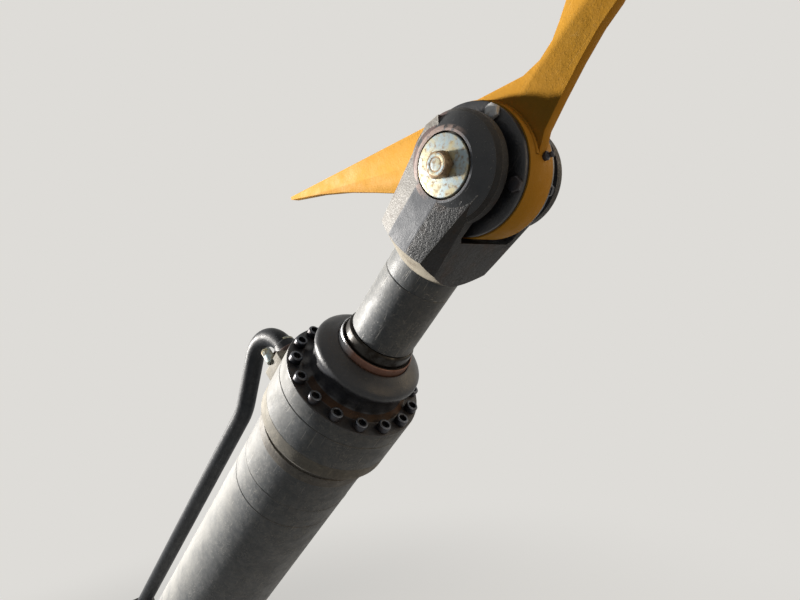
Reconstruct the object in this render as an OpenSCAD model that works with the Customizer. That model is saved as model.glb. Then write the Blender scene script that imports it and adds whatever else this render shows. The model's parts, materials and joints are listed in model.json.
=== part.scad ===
// Tipping cylinder of a dump truck with its fork end, its pin and the body lug it carries.
// Origin: centre of the lower eye. +X towards the rear, +Y towards the truck's middle, +Z up.

/* [Cylinder] */
// How far the rod comes out of the barrel
stroke = 1680; // [1500:5:1800]
// Distance between the two pin centres, closed, less the stroke
dead_length = 720; // [713:1:790]
// Lean of the closed cylinder above level, in degrees
lean = 36.5; // [20:0.5:60]
// Outside diameter of the barrel
barrel_d = 204; // [198:1:214]
// Bore of the barrel
barrel_bore = 165; // [160:1:175]
// Diameter of the chromed rod
rod_d = 110; // [106:1:114]
// Diameter of the painted neck between rod and fork
neck_d = 104; // [96:1:105]

/* [Head] */
// Step from the barrel's surface up to the head's surface
head_step = 13.5; // [12:0.5:18]
// Length of the head that is welded to the barrel
head_l = 122; // [115:1:150]
// Distance from the fork's pin to the gland flange's screw face, closed
flange_from_pin = 393; // [385:1:410]
// Thickness of the gland's flange
flange_t = 31; // [25:1:40]
// How far the gland's nose stands out of its flange
nose_l = 65; // [63:1:75]
// Largest radius of the gland's nose
nose_r = 90; // [88:0.5:91]
// Length of the gland inside the head
spigot_l = 66; // [50:1:70]
// Radius of the scraper ring in the gland's nose
scraper_r = 60; // [58.5:0.5:66]
// Number of screws round the gland
screw_n = 16; // [12:1:18]
// Radius of the gland screws' circle
screw_circle_r = 103; // [101.5:0.5:104]
// Diameter of a gland screw's head
screw_head_d = 20; // [16:1:21]
// Height of a gland screw's head
screw_head_h = 12; // [8:1:16]

/* [Fork] */
// Width across the fork's outer flats
fork_w = 177.4; // [170:0.5:190]
// Gap between the fork's two ears
slot_w = 114; // [112:0.5:120]
// Radius of the ears round the pin
ear_r = 69; // [67:0.5:76]
// Radius of the slot's round bottom about the pin
slot_bottom_r = 90; // [88:0.5:95]
// Half height of the fork's body beside the ears
body_half_h = 58; // [55:0.5:62]
// Distance from the pin to the end of the fork's flats
flats_l = 112; // [110:1:120]
// Distance from the pin to the foot of the fork
fork_l = 148; // [146:1:160]
// Depth of the washers' seats below the outer flats
seat_depth = 7; // [4:0.5:9]
// Distance from the pin to the shoulder where the chromed rod starts
shoulder_from_pin = 291; // [270:1:300]

/* [Pin] */
// Diameter of the pin
pin_d = 80; // [76:1:84]
// Radius of the washer on each end of the pin
washer_r = 37.5; // [36.5:0.25:38.5]
// Thickness of that washer
washer_t = 8; // [6:0.5:10]
// Width across the flats of the pin's bolts
pin_bolt_af = 30; // [27:1:32]
// Height of the pin bolts' heads
pin_bolt_h = 12; // [8:0.5:14]

/* [Bearings] */
// Outside diameter of a spherical bearing
bearing_d = 120; // [116:1:124]
// Width of the bearing's inner ring
bearing_w = 55; // [53:0.5:56]
// Diameter of the ball surface
ball_d = 105; // [103:0.5:107]
// Radius of the boss round each bearing
boss_r = 84; // [82:0.5:86]
// Width of the boss round each bearing
boss_w = 52; // [50:0.5:54]
// Thickness of a retaining ring
ring_t = 7.5; // [6:0.5:9]
// Outer radius of a retaining ring
ring_r = 82; // [81:0.5:82]
// Inner radius of a retaining ring
ring_hole_r = 55; // [54:0.5:58]
// Radius of the circle of a ring's bolts
ring_bolt_circle_r = 74; // [72:0.5:74]

/* [Lug] */
// Distance of the lug's middle from the cylinder's axis, outwards
lug_offset = 8.5; // [0:0.5:10]
// Thickness of the lug's plate
lug_t = 16; // [12:1:20]
// Height of the long weld edge above the pin
weld_edge_h = 88; // [86.5:0.5:96]
// Length of the lug's front wing from the pin
wing_l = 385; // [360:5:420]
// Height of the arm's top above the pin
arm_top_h = 215; // [190:5:240]

/* [Oil line] */
// Diameter of the oil pipe
pipe_d = 36; // [34:1:38]
// Gap between the barrel and the pipe
pipe_gap = 57; // [52:1:66]
// Distance from the fork's pin to the middle of the upper port
port_from_pin = 492; // [486:1:496]
// Bend radius of the pipe
pipe_bend_r = 65; // [58:1:70]
// Distance from the fork's pin to the pipe's shallow bend
pipe_kink_from_pin = 697; // [685:1:715]
// Slope of the pipe's upper end towards the barrel, in degrees
pipe_slope = 20.5; // [18:0.5:24]

/* [Hidden] */
$fn = 96;

// Clearances
running = 0.05;
bolt_clear = 0.5;

// Radii that come from the diameters
barrel_r = barrel_d / 2;
bore_r = barrel_bore / 2;
rod_r = rod_d / 2;
neck_r = neck_d / 2;
head_r = barrel_r + head_step;
pin_r = pin_d / 2;
bearing_r = bearing_d / 2;
ball_r = ball_d / 2;
pipe_r = pipe_d / 2;

// Places along the cylinder's axis, from the lower eye
pin_to_pin = stroke + dead_length;
flange_face_x = pin_to_pin - flange_from_pin;
flange_back_x = flange_face_x - flange_t;
nose_x = flange_face_x + nose_l;
spigot_x = flange_back_x - spigot_l;
head_back_x = flange_back_x - head_l;
port_x = pin_to_pin - port_from_pin;
cap_t = 50;
cap_x = boss_r + 4;
cap_inner_x = cap_x + cap_t;
cap_lip = 18;
piston_gap = 8;
piston_l = 76;
piston_x = cap_inner_x + piston_gap;
eye_neck_h = 72;

// Small sizes
edge = 2;
collar_l = 81;
head_chamfer = 15;
weld_bead = 2;
scraper_out = 18;
scraper_seat = 9;
scraper_chamfer = [3, 5];
rod_shoulder = 3;
piston_edge = 4;
rod_step = 12;
sleeve_wall = 3;
sleeve_taper = 4;
sleeve_proud = 0.4;
seam = 1.2;
joint_groove = 0.8;
joint_from_pin = 178;
ring_bolt_af = 17;
ring_bolt_h = 6.4;
ring_bolt_n = 4;
ring_bolt_turn = 7.4;
screw_turn = 14;
socket_af = 10;
socket_depth = 6;

// Upper port: a saddle block on the head, a flange held by two screws and its neck
port_block = [60, 100];
port_block_h = 18;
port_hub_r = 30;
port_lobe_r = 13;
port_arm_w = 24;
port_flange_t = 14;
port_neck_r = 23;
port_neck_h = 20.5;
port_screw_y = 44;
port_screw_d = 18;
port_screw_h = 12.5;

// Lower port, pipe nut and clamps
base_port_x = cap_x + cap_t / 2;
base_port_r = 24;
base_port_bore = 12.5;
base_port_l = 34;
port_thread_r = 16;
port_thread_l = 26;
nut_af = 50;
nut_l = 42;
nut_thread_r = pipe_r + 2;
nut_thread_l = 28;
pipe_end_x = 192;
oilway_r = 14;
clamp_places = [300, 830];
clamp_l = 44;
clamp_w = 74;
clamp_wall = 8;
clamp_bolt_af = 15;
clamp_bolt_h = 7;

// Radii and heights that stack up
pipe_z = barrel_r + pipe_gap + pipe_r;
port_seat_z = head_r + port_block_h;
port_top_z = port_seat_z + port_flange_t;
fork_half_w = fork_w / 2;
slot_half_w = slot_w / 2;
seat_y = fork_half_w - seat_depth;

// Corner points of the fork's body in cross-section: flat, shallow bevel, steep bevel
flat_half_h = 19;
bevel_drop = 7.1;
bevel_half_h = 53;
chamfer_drop = 18.7;
body_taper = 2.4;
chamfer_taper = 6.5;
ear_join_x = sqrt(pow(ear_r, 2) - pow(body_half_h, 2));
foot_half_h = body_half_h - (fork_l - ear_join_x) * tan(body_taper);
slot_corner = 6;
foot_flare = 44;

// The ear's turned face: [radius, drop below the flat], and the drop at its rim
ear_face = [[43, 0.2], [58, 8.7], [64.5, 14.2]];
ear_side_drop = 20.5;

// The unturned ledge beside it: its radius, the angle where it ends, and the body's height there
ledge_r = 63;
ledge_end = 52;
ledge_x = 18;
ledge_half_h = body_half_h + (ear_join_x + ledge_x) * tan(body_taper);
pin_half_h = body_half_h + ear_join_x * tan(body_taper);

// The lug's lower edges, from the boss outwards, level with the pin
wing_root = [[-81, 16], [-118, 15.5]];
wing_edge = [[-147, 19.5], [-196, 36.5], [-249, 53.5], [-310, 69]];
arm_outer = [[97, 16.5], [123, 44], [153, 74], [181, 99], [204, 115], [240, 150], [262, 185]];
arm_inner = [[168, 185], [160, 162], [151.5, 144], [140, 127], [127, 110], [108, 96]];
arm_top = [276, 174];
wing_tip_h = 5;
boss_run_on = 8;
weld_edge_end = 84;

// Puts a child in the cylinder's own frame: +X along the rod, +Y inwards, +Z over the barrel
module along_cylinder() rotate([0, -lean, 0]) children();

// The same frame with its origin on the fork's pin
module at_pin() along_cylinder() translate([pin_to_pin, 0, 0]) children();

// The truck's level frame with its origin on the pin, in the lug's middle plane
module at_lug()
    translate([pin_to_pin * cos(lean), -lug_offset, pin_to_pin * sin(lean)]) children();

// A round bar or disc along X from x0 to x1
module bar_x(r, x0, x1) translate([x0, 0, 0]) rotate([0, 90, 0]) cylinder(r = r, h = x1 - x0);

// A round bar or disc along Y from y0 to y1
module bar_y(r, y0, y1) translate([0, y0, 0]) rotate([-90, 0, 0]) cylinder(r = r, h = y1 - y0);

// A turned shape about X or Y; points are [radius, place along the axis]
module turned_x(points) rotate([0, 90, 0]) rotate_extrude() polygon(points);
module turned_y(points) rotate([-90, 0, 0]) rotate_extrude() polygon(points);

// A hexagon along Z, measured across its flats
module hex(af, h) cylinder(r = af / 2 / cos(30), h = h, $fn = 6);

// Copies a child to both sides of the middle plane
module both_sides() {
    children();
    mirror([0, 1, 0]) children();
}

// A bearing's retaining ring, its seat at y = 0 and its face towards +Y
module retaining_ring()
    turned_y([
        [ring_hole_r, 0], [ring_r, 0], [ring_r, ring_t - edge],
        [ring_r - edge, ring_t], [ring_hole_r, ring_t]
    ]);

// The hexagon heads round a retaining ring, seated on its face
module ring_bolt_heads(turn)
    for (i = [0 : ring_bolt_n - 1])
        rotate([0, turn + 45 + i * 360 / ring_bolt_n, 0])
            translate([ring_bolt_circle_r, ring_t, 0])
                rotate([-90, 0, 0]) hex(ring_bolt_af, ring_bolt_h);

// Barrel
module barrel_tube() color("slategray") along_cylinder()
    difference() {
        bar_x(barrel_r, cap_x + cap_lip, head_back_x);
        bar_x(bore_r, cap_x + cap_lip - 1, head_back_x + 1);
        translate([base_port_x, 0, 0]) bar_y(base_port_bore, bore_r / 2, barrel_r + 1);
    }

// The lower eye: a cap that plugs the barrel, with a boss for the bearing
module base_eye() color("slategray") along_cylinder()
    difference() {
        union() {
            bar_y(boss_r, -boss_w / 2, boss_w / 2);
            translate([0, -boss_w / 2, -eye_neck_h])
                cube([cap_x + edge, boss_w, 2 * eye_neck_h]);
            turned_x([
                [0, cap_x], [barrel_r - 2 * edge, cap_x], [barrel_r, cap_x + 2 * edge],
                [barrel_r, cap_x + cap_lip], [bore_r, cap_x + cap_lip], [bore_r, cap_inner_x],
                [0, cap_inner_x]
            ]);
        }
        bar_y(bearing_r, -boss_w, boss_w);
        translate([base_port_x, 0, 0]) bar_y(base_port_bore, 0, barrel_r + 1);
        bar_x(base_port_bore, base_port_x, cap_inner_x + 1);
    }

// A boss on the cap where the hose for the piston side screws in
module base_port() color("slategray") along_cylinder()
    translate([base_port_x, 0, 0])
        difference() {
            bar_y(base_port_r, bore_r, barrel_r + base_port_l);
            bar_y(base_port_bore, bore_r - 1, barrel_r + base_port_l + 1);
            bar_y(port_thread_r, barrel_r + base_port_l - port_thread_l, barrel_r + base_port_l + 1);
            bar_x(barrel_r, -cap_t, cap_t);
        }

// The lower spherical bearing
module base_bearing() color("silver") along_cylinder()
    difference() {
        union() {
            bar_y(bearing_r, -boss_w / 2 + 3, boss_w / 2 - 3);
            bar_y(ball_r - 5, -bearing_w / 2, bearing_w / 2);
        }
        bar_y(pin_r, -bearing_w, bearing_w);
    }

module base_rings() color("dimgray") along_cylinder()
    both_sides() translate([0, boss_w / 2, 0]) retaining_ring();

module base_ring_bolts() color("silver") along_cylinder()
    both_sides() translate([0, boss_w / 2, 0]) ring_bolt_heads(0);

// The thick head with the saddle block of the upper port
module head() color("slategray") along_cylinder()
    difference() {
        union() {
            turned_x([
                [bore_r, flange_back_x], [head_r - seam, flange_back_x],
                [head_r, flange_back_x - seam], [head_r, flange_back_x - collar_l],
                [barrel_r + weld_bead, flange_back_x - collar_l - head_chamfer],
                [barrel_r + weld_bead, head_back_x], [bore_r, head_back_x]
            ]);
            translate([port_x - port_block[0] / 2, -port_block[1] / 2, 0])
                cube([port_block[0], port_block[1], port_seat_z]);
        }
        bar_x(bore_r, head_back_x - 1, flange_back_x + 1);
        translate([port_x, 0, 0]) cylinder(r = oilway_r, h = port_seat_z + 1);
    }

// The turned nose: [radius beyond the nose's largest, distance from the flange's face]
nose_foot = [
    [1, 0], [-4, 4], [-8, 10], [-9, 22], [-7, 34], [-1.5, 42], [0, 50], [-1.5, 58]
];
nose_lip = [5, 8, 3];

// The gland: flange, nose and the spigot that guides the rod
module gland() color("#26282c") along_cylinder()
    turned_x(concat(
        [
            [rod_r + running, spigot_x], [bore_r, spigot_x], [bore_r, flange_back_x],
            [head_r - seam, flange_back_x], [head_r, flange_back_x + seam],
            [head_r, flange_face_x - edge], [head_r - edge, flange_face_x]
        ],
        [for (p = nose_foot) [nose_r + p[0], flange_face_x + p[1]]],
        [
            [nose_r - nose_lip[0], nose_x - nose_lip[2]], [nose_r - nose_lip[1], nose_x],
            [scraper_r, nose_x], [scraper_r, nose_x - scraper_seat],
            [rod_r + running, nose_x - scraper_seat]
        ]
    ));

// Socket-head screws round the flange
module gland_screws() color("#1c1d20") along_cylinder()
    for (i = [0 : screw_n - 1])
        rotate([screw_turn + i * 360 / screw_n, 0, 0])
            translate([flange_face_x, -screw_circle_r, 0])
                rotate([0, 90, 0])
                    difference() {
                        cylinder(d = screw_head_d, h = screw_head_h);
                        translate([0, 0, screw_head_h - socket_depth]) hex(socket_af, socket_depth + 1);
                    }

module scraper() color("#6b4a32") along_cylinder()
    turned_x([
        [rod_r + running, nose_x - scraper_seat], [scraper_r, nose_x - scraper_seat],
        [scraper_r, nose_x + scraper_out - scraper_chamfer[1]],
        [scraper_r - scraper_chamfer[0], nose_x + scraper_out],
        [rod_r + running, nose_x + scraper_out]
    ]);

// The flange that holds the pipe's end: a hub with two arms across the cylinder, and its neck
module port_flange() color("#3a3430") along_cylinder()
    translate([port_x, 0, port_seat_z])
        difference() {
            union() {
                cylinder(r = port_hub_r, h = port_flange_t);
                cylinder(r = port_neck_r, h = port_flange_t + port_neck_h);
                translate([-port_arm_w / 2, -port_screw_y, 0])
                    cube([port_arm_w, 2 * port_screw_y, port_flange_t]);
                for (j = [-1, 1])
                    translate([0, j * port_screw_y, 0]) cylinder(r = port_lobe_r, h = port_flange_t);
            }
            translate([0, 0, -1]) cylinder(r = oilway_r, h = port_flange_t + port_neck_h + 2);
        }

module port_screws() color("silver") along_cylinder()
    for (j = [-1, 1])
        translate([port_x, j * port_screw_y, port_top_z])
            cylinder(d = port_screw_d, h = port_screw_h);

// Points of an arc in the pipe's plane from angle a0 to a1 about a centre
arc_steps = 10;
function arc(centre, r, a0, a1) =
    [for (i = [0 : arc_steps]) let (a = a0 + (a1 - a0) * i / arc_steps)
        [centre[0] + r * cos(a), centre[1] + r * sin(a), a]];

// The pipe's centre line in [x, z]: up from the port, over, down the slope, along the barrel.
// Each point carries the angle of its ring's normal line.
kink_x = pin_to_pin - pipe_kink_from_pin;
kink_r = 2 * pipe_bend_r;
kink_t = kink_r * tan(pipe_slope / 2);
slope_top_z = pipe_z + (port_x - kink_x) * tan(pipe_slope);
bend_z = slope_top_z - pipe_bend_r * tan(45 + pipe_slope / 2);
foot_z = port_top_z + port_neck_h;
foot_turn = 5;
bend_start = foot_z > bend_z ? asin((foot_z - bend_z) / pipe_bend_r) + foot_turn : 0;
pipe_line = concat(
    [[port_x, foot_z, 0]],
    arc([port_x - pipe_bend_r, bend_z], pipe_bend_r, bend_start, 90 + pipe_slope),
    arc([kink_x - kink_t, pipe_z + kink_r], kink_r, 270 + pipe_slope, 270),
    [[pipe_end_x, pipe_z, 270]]
);
pipe_sides = 24;

// A tube swept along the centre line. A ring lies in the plane of its normal line and Y.
module pipe() color("#17181b") along_cylinder() {
    turn = [for (p = pipe_line) p[2] >= 270 - 0.01 ? p[2] - 180 : p[2]];
    rings = [for (k = [0 : len(pipe_line) - 1], j = [0 : pipe_sides - 1])
        let (a = 360 * j / pipe_sides, out = pipe_r * cos(a), p = pipe_line[k])
            [p[0] + out * cos(turn[k]), pipe_r * sin(a), p[1] + out * sin(turn[k])]];
    last = (len(pipe_line) - 1) * pipe_sides;
    polyhedron(
        points = rings,
        faces = concat(
            [[for (j = [pipe_sides - 1 : -1 : 0]) j]],
            [for (k = [0 : len(pipe_line) - 2], j = [0 : pipe_sides - 1])
                let (a = k * pipe_sides, n = (j + 1) % pipe_sides)
                    [a + j, a + n, a + pipe_sides + n, a + pipe_sides + j]],
            [[for (j = [0 : pipe_sides - 1]) last + j]]
        )
    );
}

// The open union nut on the pipe's lower end
module pipe_nut() color("silver") along_cylinder()
    translate([pipe_end_x - nut_thread_l, 0, pipe_z])
        difference() {
            rotate([0, 90, 0]) hex(nut_af, nut_l);
            bar_x(nut_thread_r, -1, nut_thread_l);
            bar_x(pipe_r, 0, nut_l + 1);
        }

// Two saddles that hold the pipe off the barrel
module pipe_clamps() color("slategray") along_cylinder()
    for (x = clamp_places)
        translate([x - clamp_l / 2, 0, 0])
            difference() {
                translate([0, -clamp_w / 2, 0]) cube([clamp_l, clamp_w, pipe_z + pipe_r + clamp_wall]);
                bar_x(barrel_r, -1, clamp_l + 1);
                translate([0, 0, pipe_z]) bar_x(pipe_r + bolt_clear, -1, clamp_l + 1);
            }

module clamp_bolts() color("silver") along_cylinder()
    for (x = clamp_places, j = [-1, 1])
        translate([x, j * (clamp_w / 2 - clamp_bolt_af / 2 - 2), pipe_z + pipe_r + clamp_wall])
            hex(clamp_bolt_af, clamp_bolt_h);

// Rod
rod_end_r = rod_r - rod_step;
module rod() color("gainsboro") at_pin()
    turned_x([
        [0, piston_x - pin_to_pin], [rod_end_r, piston_x - pin_to_pin],
        [rod_end_r, piston_x + piston_l - pin_to_pin], [rod_r, piston_x + piston_l - pin_to_pin],
        [rod_r, -shoulder_from_pin - rod_shoulder], [rod_r - rod_shoulder, -shoulder_from_pin],
        [0, -shoulder_from_pin]
    ]);

module piston() color("silver") at_pin()
    turned_x([
        [rod_end_r, piston_x - pin_to_pin], [bore_r - piston_edge, piston_x - pin_to_pin],
        [bore_r - running, piston_x + piston_edge - pin_to_pin],
        [bore_r - running, piston_x + piston_l - piston_edge - pin_to_pin],
        [bore_r - piston_edge, piston_x + piston_l - pin_to_pin],
        [rod_end_r, piston_x + piston_l - pin_to_pin]
    ]);

module rod_neck() color("gray") at_pin()
    turned_x([
        [0, -shoulder_from_pin], [neck_r, -shoulder_from_pin],
        [neck_r, -joint_from_pin - joint_groove], [neck_r - joint_groove, -joint_from_pin],
        [neck_r, -joint_from_pin + joint_groove], [neck_r, -fork_l], [0, -fork_l]
    ]);

// Side view of the fork's tapering body with the ledge that runs on past the pin above it
module fork_side()
    polygon([
        [-fork_l, -foot_half_h], [-fork_l, foot_half_h], [ledge_x, ledge_half_h],
        [ledge_r * cos(ledge_end), ledge_r * sin(ledge_end)], [0, 0], [0, -pin_half_h]
    ]);

// Cuts away everything beyond a sloping plane that passes through height z at depth y
module bevel_cut(y, z, slope, taper)
    translate([-ear_join_x, y, z]) rotate([0, -taper, 0]) rotate([slope, 0, 0])
        translate([-2 * fork_l, 0, -fork_w]) cube([4 * fork_l, fork_w, 2 * fork_w]);

bevel_slope = atan(bevel_drop / (bevel_half_h - flat_half_h));
chamfer_slope = atan((chamfer_drop - bevel_drop) / (body_half_h - bevel_half_h));

// The forged fork: two ears on a body with bevelled edges and a coned foot
module fork() color("#2b2d31") at_pin()
    difference() {
        union() {
            both_sides() turned_y(concat(
                [
                    [0, slot_half_w - edge], [ear_r, slot_half_w - edge],
                    [ear_r, fork_half_w - ear_side_drop]
                ],
                [for (i = [len(ear_face) - 1 : -1 : 0]) [ear_face[i][0], fork_half_w - ear_face[i][1]]],
                [[0, fork_half_w - ear_face[0][1]]]
            ));
            intersection() {
                translate([0, fork_half_w, 0]) rotate([90, 0, 0])
                    linear_extrude(fork_w) fork_side();
                turned_x([
                    [0, -fork_l], [neck_r, -fork_l],
                    [neck_r + 2 * foot_flare, -fork_l + 2 * (fork_l - flats_l)],
                    [neck_r + 2 * foot_flare, ear_r], [0, ear_r]
                ]);
                difference() {
                    translate([-2 * fork_l, -fork_half_w, -fork_w])
                        cube([2 * fork_l + ear_r, fork_w, 2 * fork_w]);
                    for (side = [0, 1], up = [0, 1])
                        mirror([0, side, 0]) mirror([0, 0, up]) {
                            bevel_cut(fork_half_w, flat_half_h, bevel_slope, 0);
                            bevel_cut(fork_half_w - bevel_drop, bevel_half_h, chamfer_slope, chamfer_taper);
                        }
                }
            }
        }
        turned_y([
            [0, -slot_half_w], [slot_bottom_r - slot_corner, -slot_half_w],
            [slot_bottom_r, slot_corner - slot_half_w], [slot_bottom_r, slot_half_w - slot_corner],
            [slot_bottom_r - slot_corner, slot_half_w], [0, slot_half_w]
        ]);
        bar_y(pin_r, -fork_w, fork_w);
    }

// The pin has coned ends that spread a sleeve in each ear
pin_shoulder_y = slot_half_w + edge;
pin_end_y = seat_y - edge;
sleeve_small_r = pin_r - sleeve_wall;
module pin() color("gainsboro") at_pin()
    turned_y([
        [0, -pin_end_y], [sleeve_small_r - sleeve_taper, -pin_end_y],
        [sleeve_small_r, -pin_shoulder_y], [pin_r, -pin_shoulder_y],
        [pin_r, pin_shoulder_y], [sleeve_small_r, pin_shoulder_y],
        [sleeve_small_r - sleeve_taper, pin_end_y], [0, pin_end_y]
    ]);

module pin_sleeves() color("gray") at_pin()
    both_sides() turned_y([
        [sleeve_small_r, pin_shoulder_y], [pin_r, pin_shoulder_y],
        [pin_r, seat_y + sleeve_proud], [sleeve_small_r - sleeve_taper, seat_y + sleeve_proud],
        [sleeve_small_r - sleeve_taper, pin_end_y]
    ]);

module pin_washers() color("#b9a566") at_pin()
    both_sides() turned_y([
        [0, seat_y + sleeve_proud], [washer_r, seat_y + sleeve_proud],
        [washer_r, seat_y + sleeve_proud + washer_t - 1],
        [washer_r - 1, seat_y + sleeve_proud + washer_t], [0, seat_y + sleeve_proud + washer_t]
    ]);

module pin_bolts() color("#a8946c") at_pin()
    both_sides() translate([0, seat_y + sleeve_proud + washer_t, 0])
        rotate([-90, 0, 0]) rotate([0, 0, 12]) hex(pin_bolt_af, pin_bolt_h);

// Spacers between the ears and the bearing's inner ring
spacer_r = 47;
module pin_spacers() color("dimgray") at_pin() {
    turned_y([
        [pin_r, -slot_half_w], [spacer_r, -slot_half_w],
        [spacer_r, -lug_offset - bearing_w / 2], [pin_r, -lug_offset - bearing_w / 2]
    ]);
    turned_y([
        [pin_r, bearing_w / 2 - lug_offset], [spacer_r, bearing_w / 2 - lug_offset],
        [spacer_r, slot_half_w], [pin_r, slot_half_w]
    ]);
}

// Points [radius, y] of a ball's outline between -half_w and half_w
ball_steps = 8;
function ball_outline(r, half_w) =
    [for (i = [-ball_steps : ball_steps]) let (a = asin(half_w / r) * i / ball_steps)
        [r * cos(a), r * sin(a)]];

module bearing_inner() color("silver") at_pin()
    translate([0, -lug_offset, 0])
        turned_y(concat(
            ball_outline(ball_r, bearing_w / 2), [[pin_r, bearing_w / 2], [pin_r, -bearing_w / 2]]
        ));

// The race's profile follows the ball's so that the gap is the same all over
race_half_w = boss_w / 2 - 3;
module bearing_outer() color("dimgray") at_lug()
    difference() {
        bar_y(bearing_r, -race_half_w, race_half_w);
        turned_y(concat(
            [[0, -bearing_w / 2]],
            [for (p = ball_outline(ball_r, bearing_w / 2)) [p[0] + running, p[1]]],
            [[0, bearing_w / 2]]
        ));
    }

// The lug's plate seen from outside
module lug_outline()
    polygon(concat(
        [[0, 0]],
        wing_root,
        wing_edge,
        [[-wing_l, weld_edge_h - wing_tip_h], [-wing_l, weld_edge_h],
            [weld_edge_end, weld_edge_h]],
        [for (i = [len(arm_inner) - 1 : -1 : 0]) arm_inner[i]],
        [[arm_top[1], arm_top_h], [arm_top[0], arm_top_h]],
        [for (i = [len(arm_outer) - 1 : -1 : 0]) arm_outer[i]],
        [[boss_r, -boss_run_on]]
    ));

module lug() color("#e0a030") at_lug()
    difference() {
        union() {
            bar_y(boss_r, -boss_w / 2, boss_w / 2);
            translate([0, lug_t / 2, 0]) rotate([90, 0, 0]) linear_extrude(lug_t) lug_outline();
        }
        bar_y(bearing_r, -boss_w, boss_w);
    }

module lug_rings() color("#26282c") at_lug()
    both_sides() translate([0, boss_w / 2, 0]) retaining_ring();

module lug_ring_bolts() color("silver") at_lug()
    both_sides() translate([0, boss_w / 2, 0]) ring_bolt_heads(-ring_bolt_turn);

barrel_tube();
base_eye();
base_bearing();
base_rings();
base_ring_bolts();
base_port();
head();
gland();
gland_screws();
scraper();
port_flange();
port_screws();
pipe();
pipe_nut();
pipe_clamps();
clamp_bolts();
rod();
rod_neck();
piston();
fork();
pin();
pin_sleeves();
pin_washers();
pin_bolts();
pin_spacers();
bearing_inner();
lug();
bearing_outer();
lug_rings();
lug_ring_bolts();
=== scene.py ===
"""Dresses the tipping cylinder of a dump truck: its pieces, finishes, studio and camera."""

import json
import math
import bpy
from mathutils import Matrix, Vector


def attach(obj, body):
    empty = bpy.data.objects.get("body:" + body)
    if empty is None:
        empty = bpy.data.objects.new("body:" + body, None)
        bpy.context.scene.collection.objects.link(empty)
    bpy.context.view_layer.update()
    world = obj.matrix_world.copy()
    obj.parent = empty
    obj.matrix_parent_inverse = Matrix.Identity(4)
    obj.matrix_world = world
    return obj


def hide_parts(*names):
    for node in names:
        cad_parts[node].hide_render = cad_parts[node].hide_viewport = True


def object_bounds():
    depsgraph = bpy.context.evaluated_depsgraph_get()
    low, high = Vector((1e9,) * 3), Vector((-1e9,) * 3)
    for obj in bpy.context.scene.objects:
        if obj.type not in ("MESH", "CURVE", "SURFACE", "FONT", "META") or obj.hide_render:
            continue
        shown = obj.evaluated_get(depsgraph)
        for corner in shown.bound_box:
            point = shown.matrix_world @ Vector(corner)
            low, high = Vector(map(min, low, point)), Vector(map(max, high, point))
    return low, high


bl_info = {
    "name": "Tipping Cylinder",
    "version": (1, 0, 0),
    "blender": (4, 5, 0),
    "location": "3D View > Sidebar > Tipping Cylinder",
    "description": "Builds the pieces and finishes of a dump truck's tipping cylinder",
    "category": "Object",
}

import bmesh
import bpy
from bpy.props import FloatProperty, FloatVectorProperty, IntProperty, PointerProperty
from mathutils import Matrix, Vector

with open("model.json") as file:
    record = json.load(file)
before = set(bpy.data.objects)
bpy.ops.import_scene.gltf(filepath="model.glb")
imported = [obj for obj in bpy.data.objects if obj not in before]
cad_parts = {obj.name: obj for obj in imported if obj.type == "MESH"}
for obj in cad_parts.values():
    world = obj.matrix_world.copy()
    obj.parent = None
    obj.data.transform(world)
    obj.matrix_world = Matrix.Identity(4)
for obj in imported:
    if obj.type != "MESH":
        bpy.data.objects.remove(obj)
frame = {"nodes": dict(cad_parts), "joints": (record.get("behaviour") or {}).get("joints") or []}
cad_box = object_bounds()
mm = 0.001


def shift(x, y=0, z=0):
    """A move, in millimetres."""
    return Matrix.Translation((x * mm, y * mm, z * mm))


def roll(degrees, axis):
    """A turn about one axis."""
    return Matrix.Rotation(math.radians(degrees), 4, axis)


# Frames: the cylinder's own, the same one with its origin on the fork's pin, and the lug's
joints = {joint["name"]: joint for joint in frame["joints"]}
slide_axis = Vector(joints["rod_slide"]["axis"])
pin_centre = Vector(joints["lug_pivot"]["pos_m"])
lean = math.atan2(slide_axis.z, slide_axis.x)
pin_to_pin = pin_centre.dot(slide_axis) / mm
ALONG = Matrix.Rotation(-lean, 4, "Y")
AT_PIN = ALONG @ shift(pin_to_pin)
LUG_OFFSET = 8.5
AT_LUG = Matrix.Translation(pin_centre - Vector((0, LUG_OFFSET * mm, 0)))
# Turns a piece's own X axis, about which it is made, to point along Y or Z
TO_Y = Matrix.Rotation(math.pi / 2, 4, "Z")
TO_MINUS_Y = Matrix.Rotation(-math.pi / 2, 4, "Z")
TO_Z = Matrix.Rotation(-math.pi / 2, 4, "Y")

# Sizes in millimetres that the new pieces share with the solids
BARREL_R = 102
BORE_R = 82.5
ROD_R = 55
NECK_R = 52
HEAD_R = 115.5
BOSS_R = 84
BOSS_W = 52
RING_T = 7.5
RING_R = 82
RING_HOLE_R = 55
RING_BOLT_CIRCLE = 74
BARREL_START = 106
HEAD_BACK = pin_to_pin - 546
COLLAR_BACK = pin_to_pin - 505
FLANGE_BACK = pin_to_pin - 424
FLANGE_FACE = pin_to_pin - 393
NOSE_FRONT = pin_to_pin - 328
PORT_X = pin_to_pin - 492
PORT_SEAT = 133.5
PORT_TOP = 147.5
NECK_TOP = 168
PIPE_R = 18
PIPE_Z = 177
SCREW_CIRCLE = 103
PORT_ARM = 44
CLAMP_PLACES = (300, 830)
WASHER_R = 37.5
WASHER_T = 8
SEAT_Y = 82.1
EAR_CONE_R = 64.5
CAP_X = 88
# Places along the cylinder that are counted from the fork's pin, in millimetres
CHROME_END, NECK_START, NECK_END = -313, -291, -148


def colour(hex_code):
    """Linear colour of an sRGB hex value."""
    values = [int(hex_code[i : i + 2], 16) / 255 for i in (0, 2, 4)]
    return [v / 12.92 if v <= 0.04045 else ((v + 0.055) / 1.055) ** 2.4 for v in values] + [1.0]


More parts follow.
